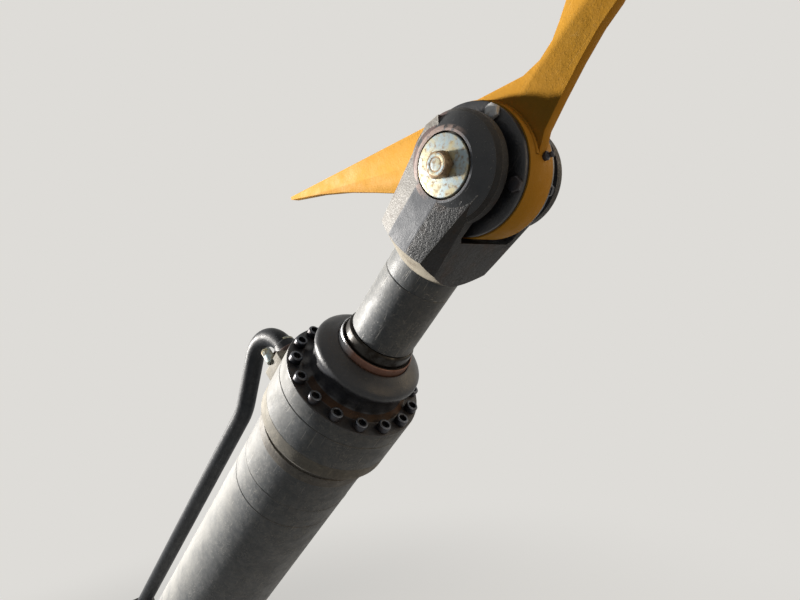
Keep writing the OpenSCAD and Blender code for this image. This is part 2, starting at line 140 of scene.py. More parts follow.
class FinishColours(bpy.types.PropertyGroup):
    """Colours of the cylinder's finishes."""

    grey_enamel: FloatVectorProperty(
        name="Grey enamel", description="Paint on the barrel, head and rod neck",
        subtype="COLOR", size=4, min=0, max=1, default=colour("5F6367"))
    black_enamel: FloatVectorProperty(
        name="Black enamel", description="Paint on the gland and the retaining rings",
        subtype="COLOR", size=4, min=0, max=1, default=colour("282B31"))
    fork_primer: FloatVectorProperty(
        name="Fork primer", description="Thin dark paint on the forged fork",
        subtype="COLOR", size=4, min=0, max=1, default=colour("24272B"))
    yellow_enamel: FloatVectorProperty(
        name="Yellow enamel", description="Paint on the body lug",
        subtype="COLOR", size=4, min=0, max=1, default=colour("DAA03A"))
    pipe_black: FloatVectorProperty(
        name="Pipe black", description="Gloss paint on the oil pipe",
        subtype="COLOR", size=4, min=0, max=1, default=colour("11151B"))
    backdrop: FloatVectorProperty(
        name="Backdrop", description="Colour of the studio's floor and background",
        subtype="COLOR", size=4, min=0, max=1, default=colour("DEDCD8"))


class CylinderSizes(bpy.types.PropertyGroup):
    """Sizes of the details that the scene adds to the solids, and the strength of its lamps."""

    edge_round: FloatProperty(
        name="Forging edge", description="Radius on the edges of forged and cast pieces",
        default=2.0 * mm, min=0.5 * mm, max=5 * mm, unit="LENGTH")
    plate_edge: FloatProperty(
        name="Plate edge", description="Radius on the edges of cut plates",
        default=1.2 * mm, min=0.3 * mm, max=4 * mm, unit="LENGTH")
    weld_width: FloatProperty(
        name="Weld width", description="Width of the weld beads",
        default=9 * mm, min=4 * mm, max=16 * mm, unit="LENGTH")
    turned_steps: IntProperty(
        name="Turned steps", description="Segments round the large turned pieces",
        default=160, min=48, max=256)
    key_power: FloatProperty(
        name="Key lamp", description="Power of the large lamp at the left",
        default=94, min=0, max=1000, unit="POWER")
    fill_light: FloatProperty(
        name="Fill light", description="Strength of the even light from all round",
        default=0.085, min=0, max=2)


def add_node(tree, kind, links=None, **settings):
    """Adds a shader node, sets its attributes and sets or links its inputs."""
    node = tree.nodes.new(kind)
    for key, value in settings.items():
        setattr(node, key, value)
    for key, value in (links or {}).items():
        if isinstance(value, bpy.types.NodeSocket):
            tree.links.new(value, node.inputs[key])
        else:
            node.inputs[key].default_value = value
    return node


# Socket numbers of a Mix node that mixes colours
FACTOR, FIRST, SECOND, RESULT = 0, 6, 7, 2


def blank_material(name, **values):
    """A material with its shader, its object coordinates and the shader's plain numbers set."""
    material = bpy.data.materials.new(name)
    material.use_nodes = True
    tree = material.node_tree
    shader = tree.nodes["Principled BSDF"]
    for key, value in values.items():
        shader.inputs[key.replace("_", " ")].default_value = value
    coords = add_node(tree, "ShaderNodeTexCoord").outputs["Object"]
    turned_back = add_node(tree, "ShaderNodeMapping", {"Vector": coords, "Rotation": (0, lean, 0)})
    return material, tree, shader, turned_back.outputs["Vector"]


def maths(tree, operation, first, second):
    """The result of one operation on two values."""
    return add_node(tree, "ShaderNodeMath", {0: first, 1: second}, operation=operation).outputs[0]


def scaled(tree, value, share):
    """A value times a number or another value."""
    return maths(tree, "MULTIPLY", value, share)


def ranged(tree, value, low, high, first=0.0, last=1.0, kind="LINEAR"):
    """A value that runs from first to last while another runs from low to high, and holds beyond them."""
    return add_node(tree, "ShaderNodeMapRange", {
        "Value": value, "From Min": low, "From Max": high, "To Min": first, "To Max": last},
        interpolation_type=kind).outputs["Result"]


def mixed(tree, factor, first, second):
    """A colour between two others."""
    node = add_node(tree, "ShaderNodeMix", {FACTOR: factor, FIRST: first, SECOND: second}, data_type="RGBA")
    return node.outputs[RESULT]


def laid(tree, base, mask, share, hex_code):
    """A colour laid over another where a mask is 1, as thick as its share says."""
    return mixed(tree, scaled(tree, mask, share), base, colour(hex_code))


def bumped(tree, shader, height, strength, depth):
    """Gives a shader the relief of a height pattern whose depth is in millimetres."""
    bump = add_node(tree, "ShaderNodeBump", {"Height": height, "Strength": strength, "Distance": depth * mm})
    tree.links.new(bump.outputs["Normal"], shader.inputs["Normal"])


def patches(tree, coords, size, low, high, detail=4, stretch=(1, 1, 1)):
    """Noise whose patches measure size millimetres, pushed towards 0 below low and 1 above high."""
    place = add_node(tree, "ShaderNodeMapping", {
        "Vector": coords, "Scale": [1 / (size * mm * s) for s in stretch]})
    noise = add_node(tree, "ShaderNodeTexNoise", {
        "Vector": place.outputs["Vector"], "Scale": 1.0, "Detail": detail, "Roughness": 0.6})
    return ranged(tree, noise.outputs["Fac"], low, high, kind="SMOOTHSTEP")


def scratches(tree, coords, width, length, share, axis=0):
    """Fine lines of a width and length in millimetres along one axis; share is how many there are."""
    stretch = [width] * 3
    stretch[axis] = length
    return patches(tree, coords, 1, 0.705 - 0.05 * share, 0.75 - 0.05 * share, 2, stretch)


def edge_wear(tree, radius, low, high, coords):
    """Worn places: 1 along sharp edges, broken up by noise of 4 mm, and 0 on open faces."""
    rounded = add_node(tree, "ShaderNodeBevel", {"Radius": radius * mm}, samples=4)
    true = add_node(tree, "ShaderNodeNewGeometry")
    same = add_node(tree, "ShaderNodeVectorMath", {
        0: rounded.outputs["Normal"], 1: true.outputs["Normal"]}, operation="DOT_PRODUCT")
    edge = ranged(tree, same.outputs["Value"], 0.992, 0.90)
    return scaled(tree, edge, patches(tree, coords, 4, low, high, detail=5))


def rubbed_and_lit_ring(tree, coords, inner, outer):
    """1 in a ring round the pin between two radii in millimetres, on its upper side only: washer wear, kept
    to the side the light falls on as painted light.
    """
    pin = (pin_to_pin * mm, 0, 0)
    away = add_node(tree, "ShaderNodeVectorMath", {0: coords, 1: pin}, operation="SUBTRACT").outputs[0]
    flat = add_node(tree, "ShaderNodeVectorMath", {0: away, 1: (1, 0, 1)}, operation="MULTIPLY")
    reach = add_node(tree, "ShaderNodeVectorMath", {0: flat.outputs[0]}, operation="LENGTH").outputs["Value"]
    inside = ranged(tree, reach, outer * mm, (outer - 2) * mm)
    beyond = ranged(tree, reach, (inner - 1) * mm, inner * mm)
    upper = ranged(tree, add_node(tree, "ShaderNodeSeparateXYZ", {0: away}).outputs["Z"], -6 * mm, 14 * mm)
    upper = scaled(tree, upper, patches(tree, coords, 6, 0.30, 0.50))
    return scaled(tree, scaled(tree, inside, beyond), upper)


def dust_and_painted_light(tree, coords, amount):
    """Road dust on faces that look upwards, pale enough to paint the light falling on them from above;
    thinner where hands and rain have rubbed it.
    """
    normal = add_node(tree, "ShaderNodeNewGeometry").outputs["Normal"]
    facing = add_node(tree, "ShaderNodeSeparateXYZ", {0: normal}).outputs["Z"]
    upwards = ranged(tree, facing, -0.35, 0.45, kind="SMOOTHSTEP")
    # the thinnest places still keep a third of the dust
    cover = ranged(tree, patches(tree, coords, 42, 0.22, 0.64, detail=6), 0, 1, 0.24, 0.66)
    return scaled(tree, scaled(tree, upwards, cover), amount)


def worn_enamel(name, paint, faded, dust, *, specks, scratched, rough, grime_and_shade="2A2420", grime_and_shade_share=0.35, shine=0.35,
                dusty=0.4, bare="8E8C86", worn=0.3, ring=None):
    """Sprayed machine enamel: fading in hand-sized patches, road dust that also paints light on upward faces,
    short scratches, grime and painted shade in corners.
    """
    material, tree, shader, coords = blank_material(name, IOR=1.5, Specular_IOR_Level=shine)
    base = laid(tree, list(paint), patches(tree, coords, 95, 0.36, 0.70, detail=5), 0.6, faded)
    # pale dust on upward faces, which also paints the light falling from above; dusty is its share
    dust_and_light = dust_and_painted_light(tree, coords, dusty)
    base = mixed(tree, dust_and_light, base, colour(dust))
    # dust dried in a mottle of 10 mm; splashes and chips of 2 to 4 mm gather in patches of about 60 mm
    mottle = patches(tree, coords, 10, 0.36, 0.70, detail=6)
    gathered = patches(tree, coords, 60, 0.40, 0.62, detail=3)
    chips = patches(tree, coords, 6, 0.63, 0.69)
    fine = patches(tree, coords, 3.4, 0.52, 0.70)
    base = laid(tree, base, mottle, 0.16 * specks, dust)
    base = laid(tree, base, scaled(tree, fine, gathered), 0.42 * specks, dust)
    base = laid(tree, base, scaled(tree, chips, gathered), 0.55 * specks, dust)
    # scratches of 2.6 mm by 60 mm along the cylinder and by 40 mm round it; finer ones wouldn't show
    lengthways = scratches(tree, coords, 2.6, 60, scratched)
    round_it = scratches(tree, coords, 2.6, 40, scratched * 0.8, 1)
    lines = maths(tree, "MAXIMUM", lengthways, round_it)
    base = laid(tree, base, lines, 0.55 * min(scratched, 1), dust)
    base = laid(tree, base, edge_wear(tree, 1.6, 0.42, 0.58, coords), worn, bare)
    # the washer's rubbed ring, pale on its upper side only: wear, with painted light
    if ring:
        base = mixed(tree, rubbed_and_lit_ring(tree, coords, *ring), base, colour(bare))
    # grime and painted shade: the grime colour is laid where ambient occlusion finds corners and creases,
    # darkening them as shade would
    corner = add_node(tree, "ShaderNodeAmbientOcclusion", {"Distance": 16 * mm}, samples=6)
    shade = ranged(tree, corner.outputs["AO"], 0.80, 0.35)
    stain = patches(tree, coords, 9, 0.30, 0.62, detail=5)
    base = laid(tree, base, scaled(tree, shade, stain), grime_and_shade_share, grime_and_shade)
    tree.links.new(base, shader.inputs["Base Color"])
    smudge = patches(tree, coords, 24, 0.30, 0.72, detail=6)
    roughness = maths(tree, "ADD", scaled(tree, smudge, 0.16), rough)
    roughness = maths(tree, "ADD", scaled(tree, dust_and_light, 0.3), roughness)
    tree.links.new(roughness, shader.inputs["Roughness"])
    # sprayed paint has a fine orange peel of about 2.5 mm, itself uneven, over shallow waves of 30 mm
    peel = patches(tree, coords, 2.5, 0.2, 0.8, detail=3)
    waves = patches(tree, coords, 30, 0.2, 0.8, detail=2)
    height = maths(tree, "SUBTRACT", maths(tree, "ADD", peel, scaled(tree, waves, 2.5)), lines)
    bumped(tree, shader, height, peel, 0.25)
    return material


def forged_steel(name, paint, bare, *, wear, grain, rough, shine=0.3, dented="3A3D42"):
    """Hammer-forged steel under thin paint: a scaled, dented skin with its high spots rubbed to metal."""
    material, tree, shader, coords = blank_material(name, IOR=1.5, Specular_IOR_Level=shine)
    # scale pits of 2.5 mm, short hammer marks of 5 by 9 mm, and broad dents of 30 mm
    pits = patches(tree, coords, 2.5, 0.30, 0.70, detail=5)
    marks = add_node(tree, "ShaderNodeTexVoronoi", {
        "Vector": add_node(tree, "ShaderNodeMapping", {
            "Vector": coords, "Scale": (1 / (9 * mm), 1 / (5 * mm), 1 / (5 * mm))}).outputs["Vector"],
        "Scale": 1.0, "Smoothness": 0.6}, feature="SMOOTH_F1")
    dents = patches(tree, coords, 30, 0.3, 0.7, detail=3)
    height = maths(tree, "SUBTRACT", pits, marks.outputs["Distance"])
    height = maths(tree, "ADD", height, scaled(tree, dents, 1.5))
    base = laid(tree, list(paint), dents, 0.45, dented)
    rubbed = scaled(tree, ranged(tree, pits, 0.55, 0.95), patches(tree, coords, 22, 0.34, 0.66))
    base = laid(tree, base, rubbed, 0.25 + 0.5 * wear, bare)
    base = laid(tree, base, edge_wear(tree, 2.4, 0.36, 0.56, coords), 0.4 + 0.5 * wear, bare)
    base = laid(tree, base, patches(tree, coords, 26, 0.50, 0.68, detail=6), 0.35, "47301F")
    # pale dust on upward faces, which also paints the light falling from above
    base = mixed(tree, dust_and_painted_light(tree, coords, 0.35), base, colour("A09C94"))
    tree.links.new(base, shader.inputs["Base Color"])
    tree.links.new(ranged(tree, pits, 0, 1, *rough), shader.inputs["Roughness"])
    bumped(tree, shader, height, 0.55 * grain, 0.8)
    return material


def plated_zinc(name, first, second, tarnished, dull, metallic):
    """Passivated zinc plating: clouds of two colours and tarnish, dulled by weather."""
    material, tree, shader, coords = blank_material(name, Metallic=metallic)
    clouds = patches(tree, coords, 16, 0.38, 0.62)
    tarnish = patches(tree, coords, 5, 0.45, 0.70, detail=6)
    base = mixed(tree, clouds, colour(first), colour(second))
    tree.links.new(laid(tree, base, tarnish, 0.75, tarnished), shader.inputs["Base Color"])
    tree.links.new(ranged(tree, tarnish, 0, 1, dull, dull + 0.25), shader.inputs["Roughness"])
    bumped(tree, shader, patches(tree, coords, 1.2, 0.3, 0.7), 0.15, 0.1)
    return material


def machined_steel(name, tint, stain, stained, dull, metallic=0.9, rust=None, grained=0.1):
    """Turned or ground bare steel with an oily stain, and rust round its underside where water hangs."""
    material, tree, shader, coords = blank_material(name, Metallic=metallic)
    cloud = patches(tree, coords, 12, 0.40, 0.66, detail=6)
    base = laid(tree, colour(tint), cloud, stained, stain)
    if rust:
        height = add_node(tree, "ShaderNodeSeparateXYZ", {0: coords}).outputs["Z"]
        base = laid(tree, base, ranged(tree, height, 12 * mm, -14 * mm), 0.9, rust)
    tree.links.new(base, shader.inputs["Base Color"])
    tree.links.new(ranged(tree, cloud, 0, 1, dull, dull + 0.3 * stained), shader.inputs["Roughness"])
    bumped(tree, shader, patches(tree, coords, 0.9, 0.3, 0.7, detail=2), grained, 0.1)
    return material


def make_finishes():
    """Every finish on the cylinder, by the name that the pieces ask for."""
    tints = bpy.context.scene.finish_colours
    # inner and outer radius of the ring that the pin's washer has rubbed on the ear; it is pale on its upper
    # side only, as painted light
    ring = (38, 48)
    return {
        # mid-grey two-pack enamel, sun-faded and dusty, its upper faces lightened by dust and painted light,
        # with a satin sheen
        "grey enamel": worn_enamel(
            "Sprayed grey enamel", tints.grey_enamel, "74787C", "C2C0BA",
            specks=1.0, scratched=0.8, rough=0.42, shine=0.15, dusty=0.84),
        # the same enamel on the rod's neck, rubbed along its length until it shines
        "neck enamel": worn_enamel(
            "Rubbed grey enamel", tints.grey_enamel, "6E7276", "C6C4BE",
            specks=0.8, scratched=1.1, rough=0.38, shine=0.18),
        # the same enamel where dust has caked on, and where a ground weld has browned under it
        "dusty enamel": worn_enamel(
            "Dust-caked grey enamel", colour("6E6C67"), "8A877F", "B9B2A2",
            specks=1.6, scratched=0.6, rough=0.50, shine=0.15, dusty=0.7),
        "browned enamel": worn_enamel(
            "Browned grey enamel", colour("5A5753"), "6E6C69", "ABA598",
            specks=1.5, scratched=0.9, rough=0.44, grime_and_shade="3A2A1C", grime_and_shade_share=0.7, shine=0.2, bare="B4B0A8",
            worn=0.8),
        # black enamel on turned steel, oily, darker in its grooves with grime and painted shade, with brown
        # rust stains
        "black enamel": worn_enamel(
            "Oily black enamel", tints.black_enamel, "33353A", "5E5850",
            specks=0.6, scratched=0.6, rough=0.30, grime_and_shade="3E2616", grime_and_shade_share=0.75, shine=0.4, dusty=0.12,
            bare="6E625A", worn=0.35),
        # thick yellow body paint, smooth and warm
        "yellow enamel": worn_enamel(
            "Yellow body enamel", tints.yellow_enamel, "E0A038", "E0BC7C",
            specks=0.3, scratched=0.3, rough=0.50, grime_and_shade="7A4A12", grime_and_shade_share=0.5, shine=0.05, dusty=0.08,
            bare="C98A2A", worn=0.2),
        # black paint on drawn tube, with a clean line of light along it
        "pipe paint": worn_enamel(
            "Gloss black pipe paint", tints.pipe_black, "1B2026", "7C7F82",
            specks=0.3, scratched=0.4, rough=0.38, grime_and_shade="0E0D0C", grime_and_shade_share=0.3, shine=0.18, dusty=0.08,
            bare="55585A", worn=0.2),
        # a forged skin under thin black paint, scored grey on one side and rubbed almost white on the other:
        # wear, with painted light on the upward side and painted shade on the downward side
        "forging": forged_steel(
            "Forged fork skin", colour("242220"), "56524D",
            wear=0.25, grain=0.7, rough=(0.42, 0.62), shine=0.2),
        "scored forging with painted shade": forged_steel(
            "Scored forging with painted shade", tints.fork_primer, "8E8E8A",
            wear=0.4, grain=0.8, rough=(0.40, 0.62)),
        "rubbed forging with painted sheen": forged_steel(
            "Rubbed forging with painted sheen", colour("8A8782"), "CCC9C2",
            wear=1.0, grain=0.5, rough=(0.42, 0.60), shine=0.25, dented="62605C"),
        # a turned foot that dust has settled on
        "dusty forging": forged_steel(
            "Dust-caked forging", colour("A8A192"), "C4BDAE",
            wear=0.7, grain=0.4, rough=(0.5, 0.7), shine=0.2, dented="8C867A"),
        # milled and turned faces of the fork under the same paint: smooth and satin
        "milled forging": worn_enamel(
            "Painted milled steel", tints.fork_primer, "383C43", "8A8A88",
            specks=0.15, scratched=0.8, rough=0.38, grime_and_shade="33231A", grime_and_shade_share=0.5, shine=0.4, dusty=0.2,
            bare="A8948C", ring=ring),
        # the fork's broad milled flats, dusted, in a light blue-grey that also paints the sky's sheen on them
        "milled flat": worn_enamel(
            "Dusted milled steel with painted sheen", colour("53575E"), "62666D", "A6A8AA",
            specks=0.12, scratched=0.8, rough=0.46, grime_and_shade="33231A", grime_and_shade_share=0.5, shine=0.25, dusty=0.25,
            bare="B09C94", worn=0.6, ring=ring),
        # the ear round the washer, where the paint has gone and the steel has browned
        "browned ear": worn_enamel(
            "Browned forging", colour("48383A"), "6C5450", "9A8A84",
            specks=1.2, scratched=1.0, rough=0.46, grime_and_shade="2E1C12", grime_and_shade_share=0.6, shine=0.25, dusty=0.3,
            bare="A8948C", worn=0.6, ring=ring),
        # the gland's foot, where water has stood
        "rusty foot": worn_enamel(
            "Rusted gland foot", colour("2C231D"), "553A28", "705640",
            specks=1.2, scratched=0.4, rough=0.5, grime_and_shade="1E1713", grime_and_shade_share=0.4, shine=0.2, dusty=0.1,
            bare="8A6A55", worn=0.25),
        # hot-rolled steel of the port's flange, browned by oil and rust
        "brown steel": worn_enamel(
            "Rust-browned steel", colour("3B302D"), "5C4640", "8A7268",
            specks=0.9, scratched=0.5, rough=0.44, grime_and_shade="1E1713", grime_and_shade_share=0.5, shine=0.25, dusty=0.3,
            bare="8A6A60", worn=0.25),
        # yellow passivated plating, straw and blue-white, and the same weathered to tan
        "straw zinc": plated_zinc("Yellow-passivated zinc", "B4AC8A", "9DAEB4", "8E7046", 0.50, 0.35),
        "tan zinc": plated_zinc("Weathered yellow zinc", "A58A66", "8A745A", "543A28", 0.46, 0.35),
        # clear-passivated plating: nearly white
        "white zinc": plated_zinc("Clear-passivated zinc", "F4F4F4", "E8EAEC", "D0CCC4", 0.36, 0.1),
        # phosphated screws: near black, with rims that the key has rubbed
        "screw black": machined_steel("Phosphated screw steel", "303239", "35281F", 0.5, 0.40, 0.6),
        "screw rim": machined_steel("Rubbed screw rim", "666B74", "3A3634", 0.6, 0.42, 0.5),
        # hard chrome, clean where the wiper runs; beside the neck dark with old oil and with painted dark
        # reflection and shade
        "chrome": machined_steel("Hard chrome plating", "C4C8CA", "AEAEAA", 0.15, 0.09, grained=0.0),
        "oily chrome painted dark": machined_steel("Oil-stained chrome painted dark", "2C2B29", "17120D", 0.85, 0.30),
        # ground steel of the bearings, pin and piston under grease
        "bearing steel": machined_steel("Greased bearing steel", "5E5A54", "30261E", 0.7, 0.32),
        # the wiper's steel ring, bright above and rusty below, and its rubber lip
        "wiper ring": machined_steel("Wiper ring", "D4D6D8", "8A8A8C", 0.5, 0.42, 0.5, "6E3C1A"),
        "wiper lip": worn_enamel(
            "Black wiper rubber", colour("141414"), "1E1C1A", "4A443C",
            specks=0.3, scratched=0.2, rough=0.5, shine=0.2),
    }


finishes = {}


def finish(name):
    """The finish of that name; all of them are made when the first one is asked for."""
    if not finishes:
        finishes.update(make_finishes())
    return finishes[name]


def add_piece(name, bm, body, materials, replaces=(), place=None, crease=32):
    """Turns a bmesh into a finished piece in the row's frame, shaded smooth up to the crease angle."""
    if place is not None:
        bmesh.ops.transform(bm, matrix=place, verts=bm.verts)
    bmesh.ops.recalc_face_normals(bm, faces=bm.faces)
    mesh = bpy.data.meshes.new(name)
    bm.to_mesh(mesh)
    bm.free()
    for material in materials:
        mesh.materials.append(finish(material))
    mesh.shade_smooth()
    mesh.set_sharp_from_angle(angle=math.radians(crease))
    piece = bpy.data.objects.new(name, mesh)
    bpy.context.scene.collection.objects.link(piece)
    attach(piece, body)
    if replaces:
        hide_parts(*replaces)
    return piece


def bevelled(bm, geom, width, segments, affect="EDGES", clamp=True):
    """Rounds edges or corners; the width is in metres."""
    return bmesh.ops.bevel(
        bm, geom=geom, affect=affect, offset=width, offset_type="OFFSET", segments=segments, profile=0.5,
        material=-1, clamp_overlap=clamp, loop_slide=clamp)["faces"]


def tag_faces(bm, number):
    """Gives each face a material number by its middle and that middle's distance from X, in millimetres."""
    for face in bm.faces:
        middle = face.calc_center_median() / mm
        face.material_index = number(middle, math.hypot(middle.y, middle.z))


def turned(profile, steps=64, start=0.0, sweep=2 * math.pi):
    """Spins a profile of (along, radius[, rounding]) in millimetres about X; corners are rounded first."""
    bm = bmesh.new()
    corners = [bm.verts.new((p[0] * mm, 0, p[1] * mm)) for p in profile]
    bm.faces.new(corners)
    for point, vert in zip(profile, corners):
        if len(point) > 2:
            bevelled(bm, [vert], point[2] * mm, segments=3, affect="VERTICES", clamp=False)
    bmesh.ops.delete(bm, geom=bm.faces[:], context="FACES_ONLY")
    on_axis = [e for e in bm.edges if all(abs(v.co.z) < 1e-7 for v in e.verts)]
    bmesh.ops.delete(bm, geom=on_axis, context="EDGES")
    full = abs(sweep - 2 * math.pi) < 1e-6
    if start:
        bmesh.ops.rotate(bm, verts=bm.verts, cent=(0, 0, 0), matrix=Matrix.Rotation(start, 3, "X"))
    bmesh.ops.spin(
        bm, geom=bm.edges[:] + bm.verts[:], cent=(0, 0, 0), axis=(1, 0, 0), dvec=(0, 0, 0),
        angle=sweep, steps=steps, use_merge=full, use_normal_flip=False, use_duplicate=False)
    bmesh.ops.remove_doubles(bm, verts=bm.verts, dist=1e-6)
    return bm


def join(target, source, place=None):
    """Adds one bmesh to another and frees it."""
    if place is not None:
        bmesh.ops.transform(source, matrix=place, verts=source.verts)
    mesh = bpy.data.meshes.new("part")
    source.to_mesh(mesh)
    source.free()
    target.from_mesh(mesh)
    bpy.data.meshes.remove(mesh)


def hex_head(af, height, chamfer=0.12, bore=None, bore_depth=0):
    """A hexagon head along +Z from 0, af across its flats, its corners cut by the usual round chamfer."""
    bm = bmesh.new()
    bmesh.ops.create_circle(bm, cap_ends=False, segments=6, radius=af / math.sqrt(3) * mm)
    bmesh.ops.subdivide_edges(bm, edges=bm.edges[:], cuts=3)
    lower = bm.edges[:]
    bmesh.ops.holes_fill(bm, edges=lower)
    grown = bmesh.ops.extrude_edge_only(bm, edges=lower)["geom"]
    upper = [e for e in grown if isinstance(e, bmesh.types.BMEdge)]
    upper_verts = [v for v in grown if isinstance(v, bmesh.types.BMVert)]
    bmesh.ops.translate(bm, verts=upper_verts, vec=(0, 0, (height * (1 - chamfer)) * mm))
    # the corners dip below the flats, as the chamfer's cone makes them
    for v in upper_verts:
        reach = math.hypot(v.co.x, v.co.y) / mm
        v.co.z -= (reach - af / 2) * 0.45 * mm
    ring = bmesh.ops.create_circle(bm, cap_ends=False, segments=24, radius=af * 0.46 * mm)["verts"]
    bmesh.ops.translate(bm, verts=ring, vec=(0, 0, height * mm))
    ring_edges = [e for e in bm.edges if all(v in ring for v in e.verts)]
    rim = [e for e in upper if all(v in upper_verts for v in e.verts)]
    bmesh.ops.bridge_loops(bm, edges=rim + ring_edges)
    cap = bmesh.ops.holes_fill(bm, edges=ring_edges)["faces"]
    if bore:
        bmesh.ops.inset_region(bm, faces=cap, thickness=(af * 0.46 - bore) * mm)
        bottom = bmesh.ops.extrude_face_region(bm, geom=cap)["geom"]
        bmesh.ops.delete(bm, geom=cap, context="FACES_ONLY")
        bmesh.ops.translate(
            bm, verts=[v for v in bottom if isinstance(v, bmesh.types.BMVert)], vec=(0, 0, -bore_depth * mm))
    return bm


def softened(node, width, angle, worn=0):
    """A copy of a solid with its sharp edges rounded; worn is the material number of the rounded strips."""
    bm = bmesh.new()
    bm.from_mesh(frame["nodes"][node].data)
    bmesh.ops.remove_doubles(bm, verts=bm.verts, dist=2e-5)
    bmesh.ops.dissolve_limit(
        bm, angle_limit=math.radians(0.6), use_dissolve_boundaries=False, verts=bm.verts, edges=bm.edges,
        delimit={"NORMAL"})
    sharp = [e for e in bm.edges if len(e.link_faces) == 2 and e.calc_face_angle(0) > math.radians(angle)]
    for face in bevelled(bm, sharp, width, segments=2):
        face.material_index = worn
    return bm


def weld_ring(x, radius, width, height, steps=220, ripple=5.0, start=0.0, sweep=2 * math.pi):
    """A weld bead round X: a low arched band with crescent ripples every few millimetres."""
    arch = [(x + width / 2 * t, radius + height * math.sqrt(max(0, 1 - t * t))) for t in
            (-1, -0.8, -0.5, -0.17, 0.17, 0.5, 0.8, 1)]
    bm = turned([(x - width / 2, radius - 2)] + arch + [(x + width / 2, radius - 2)], steps, start, sweep)
    turns = round(2 * math.pi * radius / ripple)
    for v in bm.verts:
        r = math.hypot(v.co.y, v.co.z)
        if r > (radius + 0.2) * mm:
            across = (v.co.x / mm - x) / (width / 2)
            phase = math.atan2(v.co.z, v.co.y) * turns / (2 * math.pi) + 0.45 * across * across
            lift = 0.35 * height * (phase - math.floor(phase) - 0.5) * mm
            v.co.y += v.co.y / r * lift
            v.co.z += v.co.z / r * lift
    return bm


def rounded_block(low, high, radius):
    """A box between two corners in millimetres with every edge rounded."""
    bm = bmesh.new()
    bmesh.ops.create_cube(bm, size=1)
    size = [(h - l) * mm for l, h in zip(low, high)]
    middle = [(h + l) / 2 * mm for l, h in zip(low, high)]
    bmesh.ops.scale(bm, vec=size, verts=bm.verts)
    bmesh.ops.translate(bm, vec=middle, verts=bm.verts)
    bevelled(bm, bm.edges[:], radius * mm, segments=3)
    return bm


def swept_ring(bm, edges, cent, angle, steps):
    """Spins the open end of a tube about an axis along Y and gives the new open end."""
    made = bmesh.ops.spin(
        bm, geom=edges, cent=cent, axis=(0, 1, 0), dvec=(0, 0, 0), angle=angle, steps=steps,
        use_merge=False, use_normal_flip=False, use_duplicate=False)
    return [e for e in made["geom_last"] if isinstance(e, bmesh.types.BMEdge)]


def run_straight(bm, edges, vec, cuts):
    """Extends the open end of a tube along a vector and gives the new open end."""
    for _ in range(cuts):
        grown = bmesh.ops.extrude_edge_only(bm, edges=edges)["geom"]
        ends = {v for v in grown if isinstance(v, bmesh.types.BMVert)}
        bmesh.ops.translate(bm, verts=list(ends), vec=Vector(vec) / cuts)
        edges = [e for e in grown if isinstance(e, bmesh.types.BMEdge) and all(v in ends for v in e.verts)]
    return edges


class PieceOperator:
    """What every operator here shares."""

    bl_options = {"REGISTER", "UNDO"}


class CYLINDER_OT_barrel(PieceOperator, bpy.types.Operator):
    """Build the painted barrel with its turned lines and its weld to the lower cap"""

    bl_idname = "cylinder.barrel"
    bl_label = "Barrel"

    def execute(self, context):
        sizes = context.scene.cylinder_sizes
        outer = [(BARREL_START, BARREL_R)]
        # turned lines: place from the fork's pin, depth and half width; the last one stands proud
        for from_pin, deep, half in ((1466, 1.2, 1.2), (671, 1.3, 1.2), (620, -0.5, 1.0)):
            x = pin_to_pin - from_pin
            outer += [(x - half, BARREL_R), (x, BARREL_R - deep), (x + half, BARREL_R)]
        outer += [(HEAD_BACK, BARREL_R), (HEAD_BACK, BORE_R), (BARREL_START, BORE_R)]
        add_piece("barrel", turned(outer, sizes.turned_steps), "barrel", ["grey enamel"],
                  ["barrel_tube"], ALONG, crease=9)
        beads = weld_ring(BARREL_START, BARREL_R - 0.2, sizes.weld_width / mm, height=1.8, steps=260)
        add_piece("barrel_weld", beads, "barrel", ["grey enamel"], place=ALONG)
        return {"FINISHED"}


class CYLINDER_OT_head(PieceOperator, bpy.types.Operator):
    """Build the thick head that the gland screws into, with the upper port's block"""

    bl_idname = "cylinder.head"
    bl_label = "Head"

    def execute(self, context):
        sizes = context.scene.cylinder_sizes
        collar, rim, dust = COLLAR_BACK - 15, COLLAR_BACK - 1, COLLAR_BACK + 24
        profile = [
            (HEAD_BACK, BORE_R), (HEAD_BACK, BARREL_R + 2, 0.4), (collar - 7, BARREL_R + 2),
            (collar - 5.5, BARREL_R), (collar - 0.5, BARREL_R), (collar, BARREL_R + 2), (rim, HEAD_R, 0.6),
            (dust - 0.4, HEAD_R), (dust, HEAD_R - 0.3), (dust + 0.4, HEAD_R), (FLANGE_BACK - 1.2, HEAD_R),
            (FLANGE_BACK, HEAD_R - 1.2), (FLANGE_BACK, BORE_R)]
        head = turned(profile, sizes.turned_steps)
        # browned beside the weld, dusty as far as the seam, plain beyond it
        tag_faces(head, lambda middle, reach: 2 if middle.x < rim - 2 else 1 if middle.x < dust else 0)
        add_piece("head", head, "barrel", ["grey enamel", "dusty enamel", "browned enamel"],
                  ["head"], ALONG, crease=12)
        block = rounded_block((PORT_X - 28, -48, 90), (PORT_X + 28, 48, PORT_SEAT), 3)
        add_piece("port_block", block, "barrel", ["dusty enamel"], place=ALONG)
        return {"FINISHED"}


